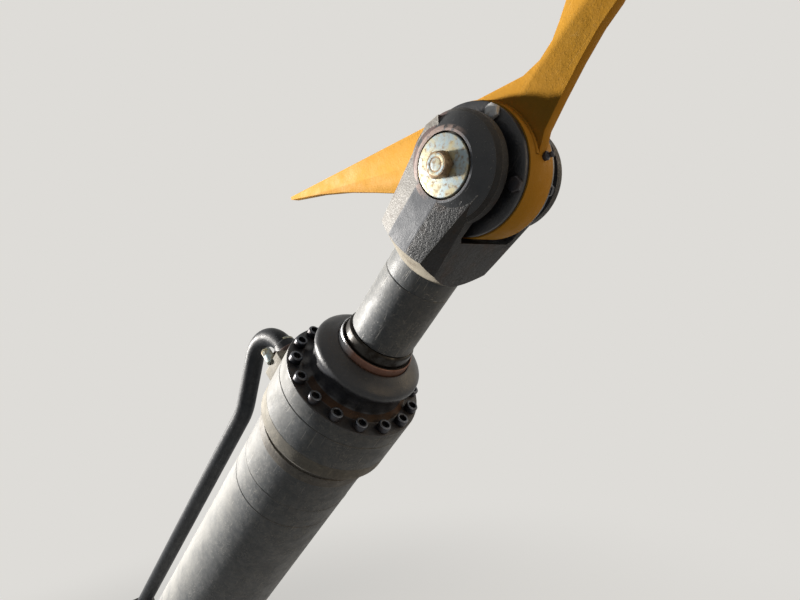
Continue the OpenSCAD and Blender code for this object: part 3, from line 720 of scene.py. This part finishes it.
class CYLINDER_OT_gland(PieceOperator, bpy.types.Operator):
    """Build the gland: its screwed flange, the waisted nose and the wiper ring"""

    bl_idname = "cylinder.gland"
    bl_label = "Gland"

    def execute(self, context):
        sizes = context.scene.cylinder_sizes
        f, n, bore = FLANGE_FACE, NOSE_FRONT, ROD_R + 0.05
        profile = [
            (FLANGE_BACK, BORE_R), (FLANGE_BACK, HEAD_R - 1.2), (FLANGE_BACK + 1.2, HEAD_R), (f, HEAD_R, 1.6),
            (f, 91, 1.5), (f + 4, 86, 2), (f + 10, 82, 3), (f + 22, 81, 5), (f + 34, 83, 5),
            (f + 42, 88, 3.5), (f + 48, 90, 3), (f + 55, 89.5, 3), (n - 5, 84.5, 3), (n, 77, 3),
            (n + 3.5, 69, 3), (n + 5.5, 64, 1), (n + 6, 61.5, 0.6), (n + 4, 60.2), (n - 9, 60),
            (n - 9, bore), (FLANGE_BACK, bore)]
        gland = turned(profile, sizes.turned_steps)

        def paint_of(middle, reach):
            # the flange's rim has the head's paint, and the nose's foot is rusty on its lower half
            if reach > HEAD_R - 2 and middle.x < f - 1.3:
                return 1
            return 2 if f + 0.3 < middle.x < f + 9 and reach < 92 and middle.z < 12 else 0

        tag_faces(gland, paint_of)
        add_piece("gland", gland, "barrel", ["black enamel", "grey enamel", "rusty foot"],
                  ["gland"], ALONG, crease=26)
        ring = [(n - 9, bore), (n - 9, 60), (n + 17.4, 60), (n + 18, 59.4), (n + 18, 58.4), (n + 15.5, 57.6),
                (n + 15.5, 56.4), (n + 17, 55.4), (n + 16, bore)]
        wiper = turned(ring, sizes.turned_steps)
        # the lip inside the ring is rubber
        tag_faces(wiper, lambda middle, reach: reach < 57 and middle.x > n)
        add_piece("wiper_ring", wiper, "barrel", ["wiper ring", "wiper lip"], ["scraper"],
                  ALONG, crease=24)
        return {"FINISHED"}


class CYLINDER_OT_gland_screws(PieceOperator, bpy.types.Operator):
    """Build the socket-head screws round the gland's flange"""

    bl_idname = "cylinder.gland_screws"
    bl_label = "Gland screws"

    def execute(self, context):
        count, first_turn, socket_af, rim_inside = 16, 14, 10, 5.7
        profile = [(0, 0), (0, 9.6, 0.5), (0.9, 10, 0.3), (10.6, 10, 0.4), (12, 8.8, 0.5), (12, 6.6, 0.4),
                   (11.2, 5.9), (6, 5.8), (6, 0)]
        corner = socket_af / math.sqrt(3) * mm
        screws = bmesh.new()
        for i in range(count):
            screw = turned(profile, steps=32)
            tag_faces(screw, lambda middle, reach: middle.x > 11 and reach > rim_inside)
            socket = bmesh.new()
            bmesh.ops.create_cone(
                socket, cap_ends=False, segments=6, radius1=corner, radius2=corner, depth=6.4 * mm)
            bmesh.ops.translate(socket, verts=socket.verts, vec=(0, 0, 9.0 * mm))
            join(screw, socket, TO_Z.inverted())
            turn = roll(first_turn + 360 / count * i, "X")
            join(screws, screw, turn @ shift(FLANGE_FACE, -SCREW_CIRCLE))
        add_piece("gland_screws", screws, "barrel", ["screw black", "screw rim"],
                  ["gland_screws"], ALONG)
        return {"FINISHED"}


class CYLINDER_OT_upper_port(PieceOperator, bpy.types.Operator):
    """Build the flange that joins the pipe to the head, its neck and its two screws"""

    bl_idname = "cylinder.upper_port"
    bl_label = "Upper port"

    def execute(self, context):
        # a hub, an arm across the cylinder and a sleeve under each screw
        seat, top, arm_end = PORT_SEAT, PORT_TOP, 38
        flange = turned([(seat, 0), (seat, 29, 1), (top, 29, 1.6), (top, 23), (top, 0)], 72)
        bmesh.ops.transform(flange, matrix=TO_Z, verts=flange.verts)
        join(flange, rounded_block((-11, -arm_end, seat), (11, arm_end, top - 0.3), 1))
        for side in (-1, 1):
            sleeve = turned([(seat, 0), (seat, 9.4, 0.4), (top, 9.4, 0.6), (top, 0)], 40)
            join(flange, sleeve, shift(0, side * PORT_ARM) @ TO_Z)
        tag_faces(flange, lambda middle, reach: abs(middle.y) > arm_end + 0.2)
        neck = turned([(top - 2, 0), (top - 2, 25), (top + 1.2, 24, 1), (top + 3, 22.4, 1),
                       (NECK_TOP - 3, 21.6, 1.5), (NECK_TOP, 19), (NECK_TOP, 0)], 64)
        at_port = ALONG @ shift(PORT_X)
        add_piece("port_flange", flange, "barrel", ["brown steel", "straw zinc"],
                  ["port_flange"], at_port)
        add_piece("port_neck", neck, "barrel", ["pipe paint"], place=at_port @ TO_Z)
        # a short run of bead where the pipe is welded to its neck
        bead = weld_ring(NECK_TOP + 0.5, 17.6, width=7, height=3.2, steps=60, ripple=4,
                         start=math.radians(150), sweep=math.radians(130))
        add_piece("port_bead", bead, "barrel", ["straw zinc"], place=at_port @ TO_Z)
        screws = bmesh.new()
        lines = 72
        for side in (-1, 1):
            head = turned([(0, 0), (0, 8.4, 0.4), (1.2, 9, 0.3), (11.6, 9, 0.4), (12.5, 8.1, 0.4),
                           (12.5, 5.6, 0.3), (11.8, 5.0), (6, 4.9), (6, 0)], lines)
            # the knurl: every other line of the head's side lies 0.35 mm deeper
            for vert in head.verts:
                reach = math.hypot(vert.co.y, vert.co.z) / mm
                line = round(math.atan2(vert.co.z, vert.co.y) / (2 * math.pi) * lines)
                if reach > 8.8 and line % 2:
                    vert.co.y *= 1 - 0.35 / reach
                    vert.co.z *= 1 - 0.35 / reach
            join(screws, head, shift(PORT_X, side * PORT_ARM, top) @ TO_Z)
        add_piece("port_screws", screws, "barrel", ["straw zinc"], ["port_screws"], ALONG, crease=24)
        return {"FINISHED"}


class CYLINDER_OT_oil_pipe(PieceOperator, bpy.types.Operator):
    """Build the bent oil pipe and the union nut on its lower end"""

    bl_idname = "cylinder.oil_pipe"
    bl_label = "Oil pipe"

    def execute(self, context):
        # radius of the bend, slope of the middle run, where it turns level, and where the pipe ends
        bend, slope, kink_x, end_x = 65.0, math.radians(20.5), pin_to_pin - 697.0, 192.0
        kink_bend = 2 * bend
        tangent = kink_bend * math.tan(slope / 2)
        over = bend * math.tan(math.radians(45) + slope / 2)
        slope_top = PIPE_Z + (PORT_X - kink_x) * math.tan(slope)
        bm = bmesh.new()
        bmesh.ops.create_circle(bm, cap_ends=False, segments=48, radius=PIPE_R * mm)
        # the tube starts inside the neck
        bmesh.ops.translate(bm, verts=bm.verts, vec=(PORT_X * mm, 0, (slope_top - over) * mm))
        ring = swept_ring(bm, bm.edges[:], ((PORT_X - bend) * mm, 0, (slope_top - over) * mm),
                          -(math.pi / 2 + slope), 24)
        down = Vector((-math.cos(slope), 0, -math.sin(slope)))
        start = Vector((PORT_X, 0, slope_top)) + down * over
        stop = Vector((kink_x, 0, PIPE_Z)) - down * tangent
        ring = run_straight(bm, ring, (stop - start) * mm, 6)
        ring = swept_ring(bm, ring, ((kink_x - tangent) * mm, 0, (PIPE_Z + kink_bend) * mm), slope, 12)
        run_straight(bm, ring, ((end_x - kink_x + tangent) * mm, 0, 0), 40)
        add_piece("oil_pipe", bm, "barrel", ["pipe paint"], ["pipe"], ALONG)
        nut_at = shift(end_x + 14, 0, PIPE_Z) @ TO_Z
        nut = hex_head(50, 42, chamfer=0.06, bore=20, bore_depth=28)
        add_piece("pipe_nut", nut, "barrel", ["straw zinc"], ["pipe_nut"], ALONG @ nut_at)
        return {"FINISHED"}


class CYLINDER_OT_clamps(PieceOperator, bpy.types.Operator):
    """Build the two saddles that hold the pipe off the barrel"""

    bl_idname = "cylinder.clamps"
    bl_label = "Pipe clamps"

    def execute(self, context):
        saddles = softened("pipe_clamps", 1.6 * mm, angle=40)
        add_piece("pipe_clamps", saddles, "barrel", ["grey enamel"], ["pipe_clamps"])
        bolts = bmesh.new()
        bolt_y, top = 27.5, PIPE_Z + PIPE_R + 8
        for x in CLAMP_PLACES:
            for side in (-1, 1):
                at = shift(x, side * bolt_y, top)
                join(bolts, hex_head(15, 7), at @ Matrix.Rotation(0.4 * side + x * 0.01, 4, "Z"))
        add_piece("clamp_bolts", bolts, "barrel", ["straw zinc"], ["clamp_bolts"], ALONG)
        return {"FINISHED"}


class CYLINDER_OT_lower_eye(PieceOperator, bpy.types.Operator):
    """Build the lower eye and its hose port"""

    bl_idname = "cylinder.lower_eye"
    bl_label = "Lower eye"

    def execute(self, context):
        eye = softened("base_eye", context.scene.cylinder_sizes.edge_round, angle=40)
        add_piece("lower_eye", eye, "barrel", ["grey enamel"], ["base_eye"])
        # a threaded boss, drawn from its middle line outwards
        inside, bore, thread = BARREL_R + 34, 12.5, 16
        threads = [(inside - 26, bore), (inside - 26, thread)]
        for i in range(10):
            turn = inside - 25 + 2.3 * i
            threads += [(turn, thread), (turn + 0.8, thread + 0.9), (turn + 1.6, thread)]
        boss = [(90, bore)] + threads + [(inside - 1.2, 16.4), (inside, 17.6), (inside, 24, 1.5), (90, 24)]
        place = ALONG @ shift(CAP_X + 25) @ TO_Y
        add_piece("lower_port", turned(boss, 64), "barrel", ["grey enamel"], ["base_port"],
                  place)
        bead = weld_ring(98, 24, width=7, height=2, steps=120, ripple=4.5)
        add_piece("lower_port_weld", bead, "barrel", ["grey enamel"], place=place)
        return {"FINISHED"}


class CYLINDER_OT_rod(PieceOperator, bpy.types.Operator):
    """Build the chromed rod and the painted neck below the fork"""

    bl_idname = "cylinder.rod"
    bl_label = "Rod"

    def execute(self, context):
        sizes = context.scene.cylinder_sizes
        start, piston_end = 146 - pin_to_pin, 222 - pin_to_pin
        rod = turned([
            (start, 0), (start, 43, 1), (piston_end, 43), (piston_end, ROD_R), (CHROME_END, ROD_R),
            (NECK_START - 3, ROD_R, 1), (NECK_START, NECK_R, 0.8), (NECK_START, 0)], sizes.turned_steps)
        # beside the neck the chrome takes the dark finish: old oil, with painted dark reflection and shade
        tag_faces(rod, lambda middle, reach: middle.x > CHROME_END)
        add_piece("rod", rod, "rod", ["chrome", "oily chrome painted dark"], ["rod"], AT_PIN)
        neck = [(NECK_START, 0), (NECK_START, 50.4, 0.3), (-289, NECK_R, 0.4), (-179.4, NECK_R, 0.4),
                (-178, NECK_R - 1, 0.3), (-176.6, NECK_R, 0.4), (NECK_END, NECK_R), (NECK_END, 0)]
        add_piece("rod_neck", turned(neck, sizes.turned_steps), "rod", ["neck enamel"],
                  ["rod_neck"], AT_PIN)
        return {"FINISHED"}


class CYLINDER_OT_fork(PieceOperator, bpy.types.Operator):
    """Build the forged fork with rounded, rubbed edges and its smoother milled faces"""

    bl_idname = "cylinder.fork"
    bl_label = "Fork"

    def execute(self, context):
        skin, rubbed, milled, dusty, scored, browned, flat = range(7)
        fork = softened("fork", context.scene.cylinder_sizes.edge_round, angle=12, worn=rubbed)
        back = AT_PIN.inverted()
        turn = back.to_3x3()
        for face in fork.faces:
            if face.material_index != skin:
                continue
            # the face's middle and direction in the fork's own frame: along the rod, along the pin, over;
            # reach is how far it lies from the pin's axis
            middle, normal = back @ face.calc_center_median() / mm, turn @ face.normal
            reach = math.hypot(middle.x, middle.z)
            outwards = (normal.x * middle.x + normal.z * middle.z) / max(reach, 1)
            steep = math.hypot(normal.x, normal.z)
            if abs(normal.y) > 0.995:
                face.material_index = flat
            elif reach < EAR_CONE_R and abs(middle.y) > 70 and outwards > 0.97 * steep:
                face.material_index = milled
            elif reach < 95 and abs(middle.y) < 58:
                face.material_index = milled
            elif normal.x < -0.3 and reach > 100:
                face.material_index = dusty
            # bevels that look up take the pale rubbed finish and those that look down the dark scored one:
            # wear, with painted light above and painted shade below
            elif abs(normal.y) > 0.9 and abs(normal.z) > 0.1 and reach > 45:
                face.material_index = rubbed if normal.z > 0 else scored
            elif abs(normal.y) > 0.3 and normal.z > 0.8:
                face.material_index = rubbed
            if abs(normal.x) > 0.05 and abs(middle.y) > 55 and middle.z > 0.3 * middle.x + 32 and reach < 100:
                face.material_index = browned
        names = ["forging", "rubbed forging with painted sheen", "milled forging", "dusty forging", "scored forging with painted shade",
                 "browned ear", "milled flat"]
        add_piece("fork", fork, "rod", names, ["fork"], crease=22)
        return {"FINISHED"}


class CYLINDER_OT_pin_ends(PieceOperator, bpy.types.Operator):
    """Build the washer and the bolt on each end of the fork's pin"""

    bl_idname = "cylinder.pin_ends"
    bl_label = "Pin ends"

    def execute(self, context):
        washers, bolts, discs = bmesh.new(), bmesh.new(), bmesh.new()
        t, across_flats = WASHER_T, 30
        for turn in (TO_MINUS_Y, TO_Y):
            seat = turn @ shift(SEAT_Y)
            join(washers, turned([(0, 0), (0, WASHER_R, 0.5), (t, WASHER_R, 1.2), (t, 0)], 96), seat)
            join(bolts, turned([(t, 0), (t, 14.6), (t + 0.9, 14.6, 0.3), (t + 0.9, 0)], 48), seat)
            stand = shift(t + 0.8) @ TO_Z.inverted()
            join(bolts, hex_head(across_flats, 10.9, chamfer=0.10), seat @ stand @ roll(12, "Z"))
            # the forged disc in the middle of each head
            disc = [(19.3, 0), (19.3, 12.9), (19.7, 12.9), (20, 12.3, 0.2), (20, 9.4, 0.2), (19.5, 8.9, 0.2),
                    (19.5, 7.7, 0.2), (19.9, 7.2, 0.2), (19.9, 0)]
            join(discs, turned(disc, 48), seat)
        add_piece("pin_washers", washers, "rod", ["straw zinc"], ["pin_washers"], AT_PIN)
        add_piece("pin_bolts", bolts, "rod", ["tan zinc"], ["pin_bolts"], AT_PIN)
        add_piece("pin_bolt_discs", discs, "rod", ["straw zinc"], place=AT_PIN)
        return {"FINISHED"}


class CYLINDER_OT_lug(PieceOperator, bpy.types.Operator):
    """Build the body lug with the welds round its boss"""

    bl_idname = "cylinder.lug"
    bl_label = "Body lug"

    def execute(self, context):
        lug = softened("lug", context.scene.cylinder_sizes.plate_edge, angle=40)
        add_piece("lug", lug, "lug", ["yellow enamel"], ["lug"])
        beads = bmesh.new()
        for side in (-1, 1):
            bead = weld_ring(side * 10.5, BOSS_R, width=6, height=1.8, steps=150, ripple=5,
                             start=math.radians(-78), sweep=math.radians(173))
            join(beads, bead, TO_Y)
        add_piece("lug_welds", beads, "lug", ["yellow enamel"], place=AT_LUG)
        return {"FINISHED"}


class CYLINDER_OT_bearing_rings(PieceOperator, bpy.types.Operator):
    """Build the retaining rings of both bearings and their bolts"""

    bl_idname = "cylinder.bearing_rings"
    bl_label = "Bearing rings"

    def execute(self, context):
        profile = [
            (0, RING_HOLE_R), (0, RING_R), (RING_T, RING_R, 1.8), (RING_T, RING_HOLE_R + 3, 0.8),
            (RING_T - 2, RING_HOLE_R, 0.6)]
        # each pair of rings: name, body, place and the angles of its bolts
        sets = (
            ("lower", "barrel", ALONG, (45, 135, 225, 315), ["base_rings"], ["base_ring_bolts"]),
            ("upper", "lug", AT_LUG, (32, 135, 211, 314), ["lug_rings"], ["lug_ring_bolts"]),
        )
        half, out = BOSS_W / 2, BOSS_W / 2 + RING_T
        for name, body, place, angles, ring_nodes, bolt_nodes in sets:
            rings, bolts, bright = bmesh.new(), bmesh.new(), bmesh.new()
            for side in (-1, 1):
                seat = (TO_Y if side > 0 else TO_MINUS_Y) @ shift(half)
                join(rings, turned(profile, 128), seat)
                stand = Matrix.Rotation(-side * math.pi / 2, 4, "X")
                for i, angle in enumerate(angles):
                    at = roll(angle, "Y") @ shift(RING_BOLT_CIRCLE, side * out)
                    # one bolt on the near side is bright and new
                    where = bright if (name == "upper" and side < 0 and i == 3) else bolts
                    at = at @ stand @ Matrix.Rotation(0.35 * i, 4, "Z")
                    join(where, hex_head(17, 6.4, chamfer=0.14), at)
            add_piece(name + "_rings", rings, body, ["black enamel"], ring_nodes, place)
            add_piece(name + "_ring_bolts", bolts, body, ["screw black"], bolt_nodes, place)
            if len(bright.verts):
                add_piece("bright_ring_bolt", bright, body, ["white zinc"], place=place)
            else:
                bright.free()
        return {"FINISHED"}


class CYLINDER_OT_grease_nipples(PieceOperator, bpy.types.Operator):
    """Build the grease nipples of both bearings"""

    bl_idname = "cylinder.grease_nipples"
    bl_label = "Grease nipples"

    def execute(self, context):
        profile = [
            (-2, 0), (-2, 5.5), (0, 5.5, 0.4), (4.5, 5.5, 0.4), (5.2, 3.6, 0.3), (8, 3.0, 0.4),
            (9.6, 3.6, 0.5), (11.4, 3.3, 0.8), (12.6, 1.6, 0.4), (12.6, 0)]
        spots = (
            ("upper_nipple", "lug", AT_LUG @ shift(0, 6) @ roll(5.5, "Y")),
            ("lower_nipple", "barrel", ALONG @ roll(-100, "Y")),
        )
        for name, body, place in spots:
            nipple = turned(profile, 24)
            bmesh.ops.translate(nipple, verts=nipple.verts, vec=(BOSS_R * mm, 0, 0))
            add_piece(name, nipple, body, ["screw black"], place=place)
        return {"FINISHED"}


class CYLINDER_OT_inner_finishes(PieceOperator, bpy.types.Operator):
    """Give the solids that stay as they are their finish, greased bearing steel"""

    bl_idname = "cylinder.inner_finishes"
    bl_label = "Inner finishes"

    def execute(self, context):
        for node in ("base_bearing", "piston", "pin", "pin_sleeves", "pin_spacers", "bearing_inner",
                     "bearing_outer"):
            mesh = frame["nodes"][node].data
            mesh.materials.clear()
            mesh.materials.append(finish("bearing steel"))
        return {"FINISHED"}


class CYLINDER_OT_stage(PieceOperator, bpy.types.Operator):
    """Set the floor, the lamps, the even light and the camera"""

    bl_idname = "cylinder.stage"
    bl_label = "Studio and camera"

    def execute(self, context):
        scene, sizes = context.scene, context.scene.cylinder_sizes
        pale = list(scene.finish_colours.backdrop)
        self.floor(scene, sizes, pale)
        self.light(scene, sizes, pale)
        self.camera(scene)
        scene.view_settings.view_transform = "Standard"
        return {"FINISHED"}

    def seen_and_strength(self, tree, sizes):
        """1 for rays that see a surface, and the strength with which it is seen or lights the rest."""
        ray = add_node(tree, "ShaderNodeLightPath").outputs
        seen = maths(tree, "MAXIMUM", ray["Is Camera Ray"], ray["Is Glossy Ray"])
        seen = maths(tree, "MAXIMUM", seen, ray["Is Transmission Ray"])
        return seen, ranged(tree, seen, 0, 1, sizes.fill_light, 1.0)

    def floor(self, scene, sizes, pale):
        bm = bmesh.new()
        bmesh.ops.create_grid(bm, x_segments=1, y_segments=1, size=60)
        bmesh.ops.translate(bm, verts=bm.verts, vec=(0, 0, cad_box[0].z - 0.5 * mm))
        mesh = bpy.data.meshes.new("studio_floor")
        bm.to_mesh(mesh)
        bm.free()
        # matt painted floor that fades into the background a few metres away
        material, tree, shader, coords = blank_material(
            "Matt studio floor", Base_Color=pale, Roughness=0.9, Specular_IOR_Level=0.1)
        reach = add_node(tree, "ShaderNodeVectorMath", {0: coords}, operation="LENGTH").outputs["Value"]
        far = ranged(tree, reach, 0.8, 3.2, 0.75, 1.0, "SMOOTHSTEP")
        strength = self.seen_and_strength(tree, sizes)[1]
        glow = add_node(tree, "ShaderNodeEmission", {"Color": pale, "Strength": strength})
        blend = add_node(tree, "ShaderNodeMixShader", {
            0: far, 1: shader.outputs["BSDF"], 2: glow.outputs["Emission"]})
        tree.links.new(blend.outputs["Shader"], tree.nodes["Material Output"].inputs["Surface"])
        mesh.materials.append(material)
        floor = bpy.data.objects.new("studio_floor", mesh)
        scene.collection.objects.link(floor)

    def light(self, scene, sizes, pale):
        world = bpy.data.worlds.new("Studio light")
        scene.world = world
        world.use_nodes = True
        tree = world.node_tree
        ground = tree.nodes["Background"]
        seen, strength = self.seen_and_strength(tree, sizes)
        # the even light has the sky's cool tint; what is seen, directly or as a reflection, is plain and pale
        cool = [value * tint for value, tint in zip(pale, (0.82, 0.97, 1.16, 1.0))]
        tree.links.new(mixed(tree, seen, cool, pale), ground.inputs["Color"])
        tree.links.new(strength, ground.inputs["Strength"])
        # name, direction from the fork, size, share of the key lamp's power, tint and spread in degrees;
        # the key lamp's narrow spread keeps its light off the floor beside it
        distance = 4.5
        lamps = (
            ("key_lamp", (-0.88, -0.40, 0.245), 0.62, 1.0, (1.0, 0.96, 0.91), 78),
            ("side_lamp", (0.80, 0.20, -0.04), 1.6, 0.28, (1.0, 0.72, 0.42), 180),
            ("rear_lamp", (0.35, 0.75, 0.15), 2.5, 0.25, (1.0, 0.76, 0.46), 180),
        )
        aim = pin_centre - slide_axis * 0.35
        for name, way, size, share, tint, spread in lamps:
            way = Vector(way)
            data = bpy.data.lights.new(name, "AREA")
            data.shape, data.size, data.energy, data.color = "DISK", size, sizes.key_power * share, tint
            data.spread = math.radians(spread)
            lamp = bpy.data.objects.new(name, data)
            lamp.location = aim + way.normalized() * distance
            lamp.rotation_euler = (-way).to_track_quat("-Z", "Y").to_euler()
            scene.collection.objects.link(lamp)

    def camera(self, scene):
        # the camera's place from the fork's pin, in barrel radii, and the picture's own axes, each measured
        # in the cylinder's directions: along, outward and over
        over = Vector((-slide_axis.z, 0, slide_axis.x))
        outward = Vector((0, -1, 0))
        eye = pin_centre + (1.928 * slide_axis + 6.064 * outward - 3.886 * over) * BARREL_R * mm
        right = 0.469 * slide_axis - 0.685 * outward - 0.557 * over
        down = -0.729 * slide_axis + 0.056 * outward - 0.682 * over
        ahead = right.cross(down).normalized()
        right = down.cross(ahead).normalized()
        down = ahead.cross(right)
        data = bpy.data.cameras.new("photo_camera")
        data.sensor_width, data.lens = 36.0, 25.886
        data.clip_start, data.clip_end = 0.01, 200
        camera = bpy.data.objects.new("photo_camera", data)
        turn = Matrix((right, -down, -ahead)).transposed().to_4x4()
        camera.matrix_world = Matrix.Translation(eye) @ turn
        scene.collection.objects.link(camera)
        scene.camera = camera


OPERATORS = (
    CYLINDER_OT_barrel, CYLINDER_OT_head, CYLINDER_OT_gland, CYLINDER_OT_gland_screws,
    CYLINDER_OT_upper_port, CYLINDER_OT_oil_pipe, CYLINDER_OT_clamps, CYLINDER_OT_lower_eye,
    CYLINDER_OT_rod, CYLINDER_OT_fork, CYLINDER_OT_pin_ends, CYLINDER_OT_lug,
    CYLINDER_OT_bearing_rings, CYLINDER_OT_grease_nipples, CYLINDER_OT_inner_finishes,
    CYLINDER_OT_stage,
)


class CYLINDER_PT_sidebar(bpy.types.Panel):
    """Lists the cylinder's settings and the pieces to build"""

    bl_idname = "CYLINDER_PT_sidebar"
    bl_label = "Tipping Cylinder"
    bl_space_type = "VIEW_3D"
    bl_region_type = "UI"
    bl_category = "Tipping Cylinder"

    def draw(self, context):
        for group in (context.scene.cylinder_sizes, context.scene.finish_colours):
            box = self.layout.box()
            for name in group.__annotations__:
                box.prop(group, name)
        for operator in OPERATORS:
            self.layout.operator(operator.bl_idname)


CLASSES = (FinishColours, CylinderSizes) + OPERATORS + (CYLINDER_PT_sidebar,)


def register():
    for item in CLASSES:
        bpy.utils.register_class(item)
    bpy.types.Scene.finish_colours = PointerProperty(type=FinishColours)
    bpy.types.Scene.cylinder_sizes = PointerProperty(type=CylinderSizes)


def unregister():
    del bpy.types.Scene.cylinder_sizes
    del bpy.types.Scene.finish_colours
    for item in reversed(CLASSES):
        bpy.utils.unregister_class(item)


def main():
    register()
    for operator in OPERATORS:
        group, name = operator.bl_idname.split(".")
        getattr(getattr(bpy.ops, group), name)()


if __name__ == "__main__":
    main()
